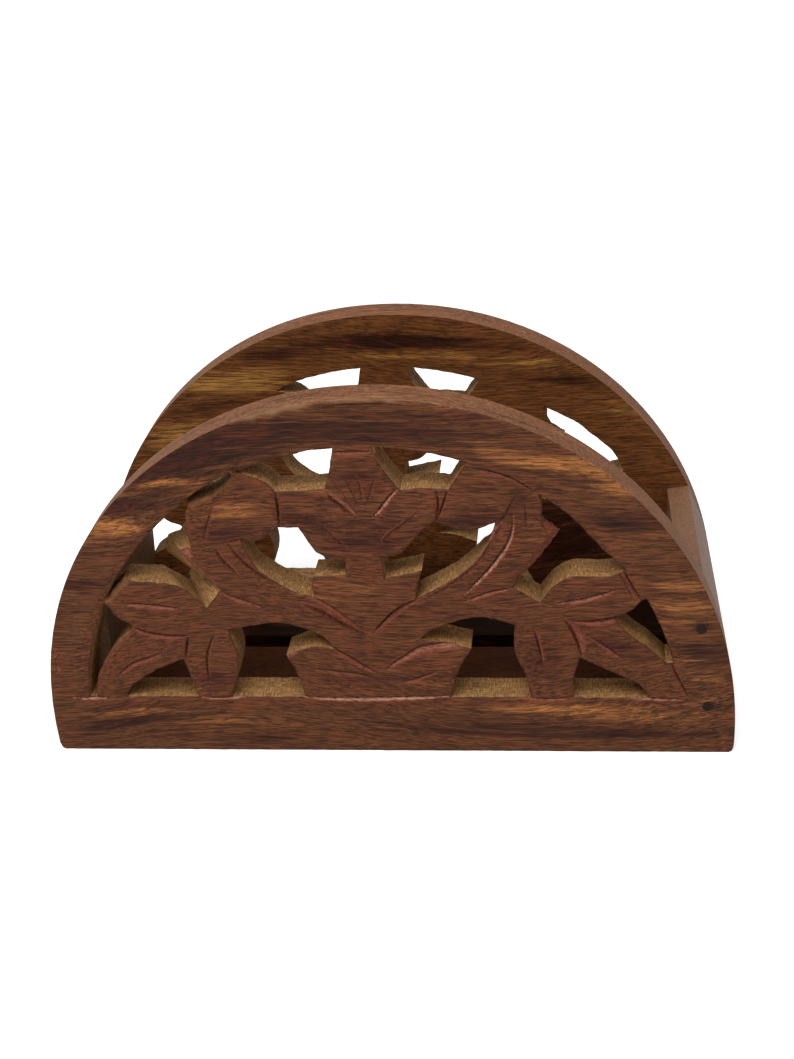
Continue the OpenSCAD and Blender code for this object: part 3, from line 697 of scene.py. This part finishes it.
def wood(name, tone, axis="X", shift=(0, 0, 0), carved=False, sawn=False):
    """Oiled rosewood: dark and golden streaks along the grain, fine wavy fibres and short dark pores.

    Planed, scraped and rubbed with a little oil, so its sheen is low and broken by the pores. carved
    adds the redder, paler wood of the knife's fresh cuts, painted shade in their bottoms and along the
    carved edges, dirt round the fillers, and golden rubbed edges that are partly a painted highlight. sawn
    adds the marks of the saw blade, which run through the board, on walls that the oil hasn't darkened, and
    darkens the walls that face sideways, partly as end grain and partly as painted shade."""
    material, tree = new_material(name)
    where = grain_space(tree, axis, shift)
    # The grain lines wander by some millimetres over a hand's breadth
    bend = put(tree, "Math", (stretched_noise(tree, where, 90, 45, 1.0, shift=3.1), 0.5), **MINUS)
    bend = put(tree, "Math", (bend, 26.0), **TIMES)
    ripple = put(tree, "Math", (stretched_noise(tree, where, 9, 6, 1.0, shift=6.1), 0.5), **MINUS)
    ripple = put(tree, "Math", (ripple, 1.1), **TIMES)
    offset = put(tree, "Math", (bend, ripple), **PLUS)
    flow = put(tree, "CombineXYZ", {1: put(tree, "Math", (offset, 0.6), **TIMES), 2: offset})
    where = put(tree, "VectorMath", (where, flow), **PLUS)
    streak = put(tree, "Math", (stretched_noise(tree, where, 44, 1.2, 3.0, 0.6, 0.3, 2.9), 0.5), **MINUS)
    streak = put(tree, "Math", (streak, 1.5), **TIMES)
    broad = put(tree, "Math", (stretched_noise(tree, where, 75, 5.5, 3.0, 0.55, 0.4), 0.5), **MINUS)
    broad = put(tree, "Math", (broad, tone.figure), **TIMES)
    # Real fibres and pores are about a tenth of a millimetre wide, and are drawn two to three times that
    fibre = stretched_noise(tree, where, 7.0, 0.3, 3.0, 0.65, 0.35, 1.3)
    pore = stretched_noise(tree, where, 3.6, 0.22, 1.0, 0.5, 0.25, 5.2)
    pore = put(tree, "MapRange", (pore, 0.57, 0.67), **SMOOTH)
    # The named streaks of the figure, with fibrous edges, over the chance ones
    deep = put(tree, "Math", (put(tree, "Attribute", out="Fac", attribute_name="dark"), streak), **MINUS)
    deep = put(tree, "MapRange", (put(tree, "Math", (deep, broad), **MINUS), 0.05, 0.85), **SMOOTH)
    gold = put(tree, "Math", (put(tree, "Attribute", out="Fac", attribute_name="gold"), streak), **PLUS)
    gold = put(tree, "MapRange", (put(tree, "Math", (gold, broad), **PLUS), 0.15, 0.85), **SMOOTH)
    colour = put(tree, "Mix", {0: deep, 6: tone.mid, 7: tone.dark}, **COLOURS)
    colour = put(tree, "Mix", {0: gold, 6: colour, 7: tone.light}, **COLOURS)
    # Redder clouds, and the blush round the cuts, which the fibres break up
    redness = stretched_noise(tree, where, 14, 3.5, 2.0, 0.55, 0.5, 8.3)
    redness = put(tree, "MapRange", (redness, 0.5, 0.75, 0.0, tone.redness), **SMOOTH)
    blush = put(tree, "Attribute", out="Fac", attribute_name="blush")
    redness = put(tree, "Math", (redness, blush), **PLUS)
    broken = put(tree, "MapRange", (fibre, 0.3, 0.6, 0.55, 1.0), **SMOOTH)
    redness = put(tree, "Math", (redness, broken), **CLAMPED)
    redness = put(tree, "Math", (redness, 0.75), **TIMES)
    colour = put(tree, "Mix", {0: redness, 6: colour, 7: tone.red}, **COLOURS)
    # Fibres lighter and darker than the ground, then the pores
    shade = put(tree, "MapRange", (fibre, 0.36, 0.64, 1 - tone.contrast, 1 + tone.contrast), **SMOOTH)
    shade = put(tree, "CombineColor", (shade, shade, shade))
    colour = put(tree, "Mix", {0: 1.0, 6: colour, 7: shade}, blend_type="MULTIPLY", **COLOURS)
    holes = put(tree, "Math", (pore, tone.pores), **TIMES)
    colour = put(tree, "Mix", {0: holes, 6: colour, 7: linear("20100A")}, **COLOURS)
    height = put(tree, "Math", (put(tree, "Math", (fibre, 0.35), **TIMES), pore), **MINUS)
    rough = put(tree, "MapRange", (fibre, 0.3, 0.7, tone.roughness - 0.05, tone.roughness + 0.07), **SMOOTH)
    if sawn:
        # Blade marks of about 0.35 mm along the cut, drawn through the whole board
        along = put(tree, "Attribute", out="Fac", attribute_name="along")
        through = put(tree, "SeparateXYZ", (put(tree, "TexCoord", out="Object"),), out="Y")
        lines = put(tree, "CombineXYZ", (put(tree, "Math", (along, 2.9), **TIMES),
                                         put(tree, "Math", (through, 380.0), **TIMES)))
        teeth = put(tree, "TexNoise", {"Vector": lines, "Scale": 1.0, "Detail": 2.0, "Roughness": 0.65},
                    out="Fac")
        low = put(tree, "MapRange", (teeth, 0.3, 0.5, 0.6, 0.0), **SMOOTH)
        colour = put(tree, "Mix", {0: low, 6: colour, 7: tone.dark}, **COLOURS)
        high = put(tree, "MapRange", (teeth, 0.5, 0.7, 0.0, 0.7), **SMOOTH)
        colour = put(tree, "Mix", {0: high, 6: colour, 7: tone.light}, **COLOURS)
        height = put(tree, "Math", (height, put(tree, "Math", (teeth, 2.0), **TIMES)), **PLUS)
        # Walls that face sideways look darker: partly end grain, whose open pores drink the oil, and partly
        # painted shade, as they get less of the light from above
        across = put(tree, "SeparateXYZ", (put(tree, "TexCoord", out="Normal"),), out="X")
        across = put(tree, "Math", (put(tree, "Math", (across, across), **TIMES), 0.3), **TIMES)
        colour = put(tree, "Mix", {0: across, 6: colour, 7: tone.dark}, **COLOURS)
    if carved:
        # Cuts show redder wood, and chips the palest, in specks along the fibres
        raw = put(tree, "Attribute", out="Fac", attribute_name="raw")
        speck = stretched_noise(tree, where, 1.5, 0.4, 2.0, 0.65, 0.0, 9.4)
        paler = put(tree, "Math", (put(tree, "Math", (raw, 1.0), **MINUS), 1.1), **CLAMPED)
        paler = put(tree, "Math", (paler, put(tree, "MapRange", (speck, 0.35, 0.6, 0.5, 1.0), **SMOOTH)),
                    **TIMES)
        bare = put(tree, "Mix", {0: paler, 6: tone.fresh, 7: tone.chip}, **COLOURS)
        share = put(tree, "Math", (raw, put(tree, "MapRange", (speck, 0.35, 0.6, 0.2, 0.85), **SMOOTH)),
                    **CLAMPED)
        colour = put(tree, "Mix", {0: share, 6: colour, 7: bare}, **COLOURS)
        # Rubbed edges turn golden: partly wear, partly a painted highlight
        rubbed_and_highlight = put(tree, "Math", (raw, -0.85), **CLAMPED)
        colour = put(tree, "Mix", {0: rubbed_and_highlight, 6: colour, 7: tone.rubbed_and_highlight}, **COLOURS)
        # Dirt smudges round the fillers, and painted shade in the cuts' bottoms and along the carved edges,
        # darken towards near black
        dirt_and_shade = put(tree, "Math", (put(tree, "Attribute", out="Fac", attribute_name="dirt_and_shade"), 0.75), **CLAMPED)
        colour = put(tree, "Mix", {0: dirt_and_shade, 6: colour, 7: linear("1C0E09")}, **COLOURS)
        rough = put(tree, "Math", (rough, put(tree, "Math", (share, 0.2), **TIMES)), **PLUS)
    bump = put(tree, "Bump", {"Strength": tone.relief, "Distance": 0.0001, "Height": height})
    shader = put(tree, "BsdfPrincipled", {"Base Color": colour, "Roughness": rough, "Normal": bump,
                                          "IOR": 1.5, "Specular IOR Level": tone.sheen})
    put(tree, "OutputMaterial", (shader,))
    return material


def steel():
    """Drawn steel of the brads: bright grey, with the dull sheen of wire that has been through a die."""
    material, tree = new_material("brad_steel")
    shader = put(tree, "BsdfPrincipled", {"Base Color": linear("8C8C8E"), "Roughness": 0.38, "Metallic": 1.0})
    put(tree, "OutputMaterial", (shader,))
    return material


def filler():
    """Wax filler: tinted like the wood on the left, and black with dirt over the brads on the right."""
    material, tree = new_material("filler_wax")
    where = put(tree, "TexCoord", out="Object")
    cloud = put(tree, "TexNoise", {"Vector": where, "Scale": 900.0, "Detail": 2.0}, out="Fac")
    cloud = put(tree, "MapRange", (cloud, 0.3, 0.7), **SMOOTH)
    wax = put(tree, "Mix", {0: cloud, 6: linear("4E2E1F"), 7: linear("5F3926")}, **COLOURS)
    side = put(tree, "MapRange", (put(tree, "SeparateXYZ", (where,), out="X"), 0.0, 0.02), **SMOOTH)
    side = put(tree, "Math", (side, 0.92), **TIMES)
    colour = put(tree, "Mix", {0: side, 6: wax, 7: linear("1E100B")}, **COLOURS)
    shader = put(tree, "BsdfPrincipled", {"Base Color": colour, "Roughness": 0.55,
                                          "Specular IOR Level": 0.12})
    put(tree, "OutputMaterial", (shader,))
    return material


class Tone:
    """Colours and finish of one wooden surface.

    figure, contrast, pores and redness say how much of each is seen, and relief how deep the grain is.
    fresh and chip are the wood of a cut and of a splinter, and rubbed_and_highlight is the golden of an edge
    worn by hands, partly wear and partly a painted highlight."""

    def __init__(self, dark, mid, light, figure=1.2, contrast=0.5, pores=0.65, roughness=0.5, sheen=0.13,
                 relief=0.5, redness=0.5):
        self.dark, self.mid, self.light = (linear(c) if isinstance(c, str) else (*c, 1.0)
                                           for c in (dark, mid, light))
        self.figure, self.contrast, self.pores = figure, contrast, pores
        self.roughness, self.sheen, self.relief = roughness, sheen, relief
        self.redness, self.red = redness, linear("602C1B")
        self.fresh, self.chip, self.rubbed_and_highlight = linear("854B39"), linear("AC806B"), linear("7E5A3A")


SAWN = Tone("573A1E", "966E44", "BC9565", 0.7, 0.3, 0.5, 0.7, 0.06, 0.8, 0.0)
EDGE = Tone("482815", "7D5134", "A37852", 1.6, 0.55, 0.6, 0.5, 0.06, 0.8, 0.3)
INNER = Tone("2A1006", "60381A", "8E6230", 1.0, 0.5, 0.7, 0.5, 0.1)
WALL = Tone("4E3220", "7C583F", "9C7A60", 0.8, 0.36, 0.5, 0.5, 0.24, 0.6, 0.0)
SLAT = Tone("2A1309", "502C17", "6C4426", 0.8, 0.4, 0.5, 0.6, 0.05)
# The rear slat's near-black colours are painted shade: it lies deep behind the front panel
SHADED_REAR_SLAT = Tone("120703", "1C0E07", "2A160B", 0.8, 0.4, 0.5, 0.6, 0.04)


# ---- operators ----

def small_length(name, description, default):
    return FloatProperty(name=name, description=description, default=default, min=0.0, max=0.001,
                         subtype="DISTANCE", unit="LENGTH")


def tint(name, description, default):
    return FloatVectorProperty(name=name, description=description, default=linear(default)[:3], size=3,
                               min=0.0, max=1.0, subtype="COLOR")


class HolderSettings(bpy.types.PropertyGroup):
    """Sizes and colours that a user would change."""
    arris: small_length("Arris", "How far the carved face's edges are rubbed round", 0.00028)
    swell: small_length("Swell", "How far the leaves rise from their edges to their middles", 0.00042)
    softness: small_length("Board edges", "Width of the softened edges of walls and slats", 0.0004)
    face_dark: tint("Dark streaks", "Darkest wood of the carved faces", "34190F")
    face_mid: tint("Wood", "Ground colour of the carved faces", "58331D")
    face_gold: tint("Golden streaks", "Lightest wood of the carved faces", "8F5A30")
    key_power: FloatProperty(name="Key light", description="Power of the large lamp above", default=6.2,
                             min=0.0, subtype="POWER", unit="POWER")
    sky: FloatProperty(name="Sky", description="Strength of the even light from all sides", default=0.6,
                       min=0.0)
    backdrop: tint("Backdrop", "Colour behind the object", "FFFFFF")


def as_drawn(points):
    """The front panel's carving, where it is drawn."""
    return points


def back_stretch(points):
    """The front panel's carving, spread to the back panel's wider and lower field."""
    middle = np.array([FIELD[0], RAIL_H])
    return middle + (points - middle) * np.array([BACK_WIDTH, BACK_HEIGHT])


class BuildPanels(bpy.types.Operator):
    """Carve both half-moon panels"""
    bl_idname = "holder.panels"
    bl_label = "Carved panels"

    def execute(self, context):
        settings = context.scene.holder
        face = Tone(settings.face_dark, settings.face_mid, settings.face_gold)
        sawn = wood("sawn_rosewood", SAWN, shift=(0, 0, 40), sawn=True)
        edge = wood("sanded_rosewood_edge", EDGE, shift=(30, 0, 0))
        front = [wood("carved_rosewood", face, carved=True), sawn, edge, wood("rosewood_inside", INNER)]
        back = [wood("carved_rosewood_rear", face, shift=(300, 0, 0), carved=True), sawn, edge,
                wood("golden_rosewood_inside", INNER, shift=(300, 0, 0))]
        panel_piece("carved_front_panel", "front_panel", -1, as_drawn, front, WORN_TOP, FRONT_MOVES,
                    FRONT_LEANS, FRONT_FIGURE, ())
        panel_piece("carved_back_panel", "back_panel", 1, back_stretch, back, (), BACK_MOVES, BACK_LEANS,
                    (), BACK_FIGURE_AND_SHADE)
        return {"FINISHED"}


class BuildBoards(bpy.types.Operator):
    """Soften the end walls and base slats, and give every CAD piece its material"""
    bl_idname = "holder.boards"
    bl_label = "Boards and brads"

    def execute(self, context):
        looks = {
            "left_end_wall": wood("left_wall_rosewood", WALL, "Z", (0, 50, 0)),
            "right_end_wall": wood("right_wall_rosewood", WALL, "Z", (0, 90, 0)),
            "front_base_slat": wood("front_slat_rosewood", SLAT, "X", (500, 0, 0)),
            "rear_base_slat": wood("rear_slat_painted_shade", SHADED_REAR_SLAT, "X", (700, 0, 0)),
        }
        metal, wax = steel(), filler()
        for name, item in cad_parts.items():
            if name.endswith("panel"):
                continue
            item.data.materials.clear()
            item.data.materials.append(looks.get(name) or (metal if name.endswith("brads") else wax))
            if name in looks:
                # The CAD's loose triangles are joined to flat faces first, so that their edges can be
                # taken off, and the shading follows the large faces
                item.modifiers.new("join", "WELD").merge_threshold = 0.001 * MM
                flat = item.modifiers.new("flat_faces", "DECIMATE")
                flat.decimate_type, flat.angle_limit = "DISSOLVE", math.radians(0.5)
                soft = item.modifiers.new("soft_edges", "BEVEL")
                soft.width, soft.segments = context.scene.holder.softness, 2
                soft.limit_method, soft.angle_limit = "ANGLE", math.radians(30)
                item.modifiers.new("even_shading", "WEIGHTED_NORMAL").keep_sharp = True
        return {"FINISHED"}


class BuildStage(bpy.types.Operator):
    """Set the floor, the light and the camera"""
    bl_idname = "holder.stage"
    bl_label = "Studio"

    def execute(self, context):
        settings, scene = context.scene.holder, context.scene
        mesh = bpy.data.meshes.new("floor")
        corners = ((-1, -1), (1, -1), (1, 1), (-1, 1))
        mesh.from_pydata([(x * FLOOR_HALF, y * FLOOR_HALF, 0) for x, y in corners], [], [(0, 1, 2, 3)])
        floor = bpy.data.objects.new("floor", mesh)
        scene.collection.objects.link(floor)
        # Matt white paper. The camera sees it brighter than it is, so that only the shadow stays on it.
        material, tree = new_material("studio_floor")
        paper = put(tree, "BsdfDiffuse", {"Color": (0.8, 0.8, 0.8, 1)})
        lift = put(tree, "Math", (put(tree, "LightPath", out="Is Camera Ray"), 0.5), **TIMES)
        glow = put(tree, "Emission", {"Color": (1, 1, 1, 1), "Strength": lift})
        put(tree, "OutputMaterial", (put(tree, "AddShader", (paper, glow)),))
        mesh.materials.append(material)

        world = bpy.data.worlds.new("studio")
        scene.world = world
        world.use_nodes = True
        tree = world.node_tree
        tree.nodes.clear()
        even = put(tree, "Background", ((1, 1, 1, 1), settings.sky))
        seen = put(tree, "Background", ((*settings.backdrop, 1), 1.0))
        by_camera = put(tree, "LightPath", out="Is Camera Ray")
        put(tree, "OutputWorld", (put(tree, "MixShader", (by_camera, even, seen)),))

        lamp = bpy.data.lights.new("key", "AREA")
        lamp.shape = "RECTANGLE"
        lamp.size, lamp.size_y = LAMP_SIZE
        lamp.energy = settings.key_power
        key = bpy.data.objects.new("key", lamp)
        key.location = LAMP_AT
        key.rotation_euler = (Vector(LAMP_AIM) - key.location).to_track_quat("-Z", "Y").to_euler()
        scene.collection.objects.link(key)

        data = bpy.data.cameras.new("camera")
        data.lens, data.sensor_width, data.sensor_fit = CAMERA_LENS, SENSOR, "AUTO"
        data.clip_start = 0.01
        camera = bpy.data.objects.new("camera", data)
        aim = Vector(CAMERA_AIM).normalized()
        right = aim.cross(Vector((0, 0, 1))).normalized()
        up = right.cross(aim)
        c, s = math.cos(CAMERA_ROLL), math.sin(CAMERA_ROLL)
        right, up = c * right + s * up, c * up - s * right
        matrix = Matrix((right, up, -aim)).transposed().to_4x4()
        matrix.translation = Vector(CAMERA_AT)
        camera.matrix_world = matrix
        scene.collection.objects.link(camera)
        scene.camera = camera
        scene.view_settings.view_transform = "Standard"
        return {"FINISHED"}


class HolderPanel(bpy.types.Panel):
    """Builds the napkin holder piece by piece"""
    bl_idname = "VIEW3D_PT_napkin_holder"
    bl_label = "Napkin holder"
    bl_space_type = "VIEW_3D"
    bl_region_type = "UI"
    bl_category = "Napkin holder"

    def draw(self, context):
        settings = context.scene.holder
        for key in settings.bl_rna.properties.keys():
            if key not in ("rna_type", "name"):
                self.layout.prop(settings, key)
        for operator in OPERATORS:
            self.layout.operator(operator.bl_idname)


OPERATORS = (BuildPanels, BuildBoards, BuildStage)


def register():
    for item in (HolderSettings, *OPERATORS, HolderPanel):
        bpy.utils.register_class(item)
    bpy.types.Scene.holder = PointerProperty(type=HolderSettings)


def unregister():
    del bpy.types.Scene.holder
    for item in (HolderPanel, *reversed(OPERATORS), HolderSettings):
        bpy.utils.unregister_class(item)


def main():
    register()
    bpy.ops.holder.panels()
    bpy.ops.holder.boards()
    bpy.ops.holder.stage()


if __name__ == "__main__":
    main()
